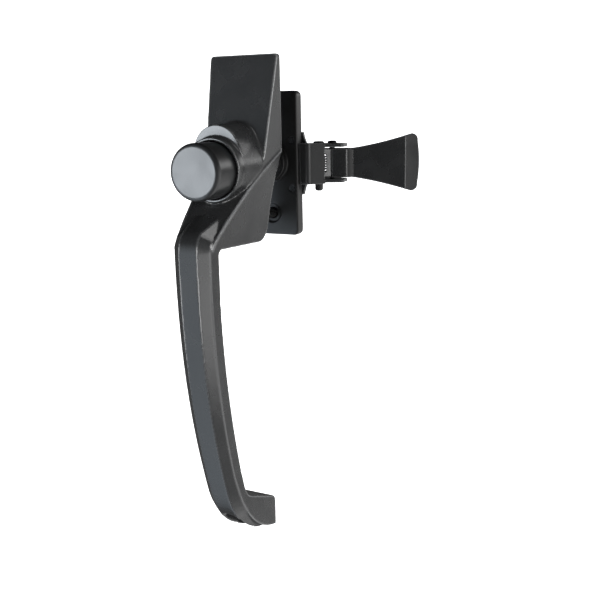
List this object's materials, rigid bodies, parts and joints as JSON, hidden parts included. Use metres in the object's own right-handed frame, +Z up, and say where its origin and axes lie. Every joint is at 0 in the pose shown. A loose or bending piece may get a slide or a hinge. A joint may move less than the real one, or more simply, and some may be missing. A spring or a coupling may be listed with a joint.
{
  "type": "push button screen door latch handle",
  "caption": "Pull handle with a push button on an arched grip, a spring plunger through the door, and an inside latch with a fishtail thumb lever and a hooked tongue.",
  "frame": {"origin": "on the push button's axis, in the plane of the door's outer face, which is the pull handle's back face", "axes": "+X to the right seen from outside, towards the thumb lever; +Y through the door into the room, along the button's travel; +Z up along the grip"},
  "size_m": [0.0912, 0.0942, 0.2067],
  "materials": {
    "painted_casting": "satin black powder paint over a zinc die casting, light mottle, edges slightly burnished",
    "painted_button": "satin black paint, a little smoother than the casting",
    "painted_lever": "satin black paint",
    "black_sheet_steel": "black coated sheet steel, satin",
    "black_moulding": "fine-textured black moulded plastic",
    "bush_plastic": "smooth dark acetal",
    "zinc_plated_steel": "bright zinc plate, faintly brushed",
    "spring_steel": "drawn spring wire, lightly oiled",
    "black_screw_steel": "black oxide with a little oil",
    "rivet_steel": "dark plated steel",
    "pin_steel": "black oxide steel, semi-gloss"
  },
  "bodies": {
    "handle_set": {"pull_handle": "painted_casting", "button_spring": "spring_steel", "spring_seat_washer": "zinc_plated_steel", "inside_base_plate": "black_moulding", "plunger_bush": "bush_plastic", "mounting_screws": "black_screw_steel", "screw_washers": "zinc_plated_steel", "lever_bracket": "black_sheet_steel", "bracket_rivets": "rivet_steel", "hinge_pin": "pin_steel", "stop_pin": "pin_steel", "lever_spring": "spring_steel"},
    "button": {"push_button": "painted_button", "plunger_rod": "zinc_plated_steel", "plunger_tip": "zinc_plated_steel", "plunger_clip": "spring_steel"},
    "latch_lever": {"thumb_lever": "painted_lever", "latch_tongue": "zinc_plated_steel", "tongue_rivets": "rivet_steel"}
  },
  "joints": [
    {"name": "button_press", "type": "slide", "parent": "handle_set", "child": "button", "axis": [0, 1, 0], "range_m": [0, 0.006], "stiffness_N_per_m": 400, "springref_m": -0.01, "deforming": ["button_spring"]},
    {"name": "latch_swing", "type": "hinge", "parent": "handle_set", "child": "latch_lever", "pos_m": [0.0177, 0.032, -0.0007], "axis": [0, 0, -1], "range_deg": [0, 21.5], "stiffness_Nm_per_rad": 0.08, "springref_deg": -28.65, "deforming": ["lever_spring"]}
  ],
  "couplings": [
    {"joint": "latch_swing", "follows": "button_press", "rad_per_m": 61.09}
  ]
}
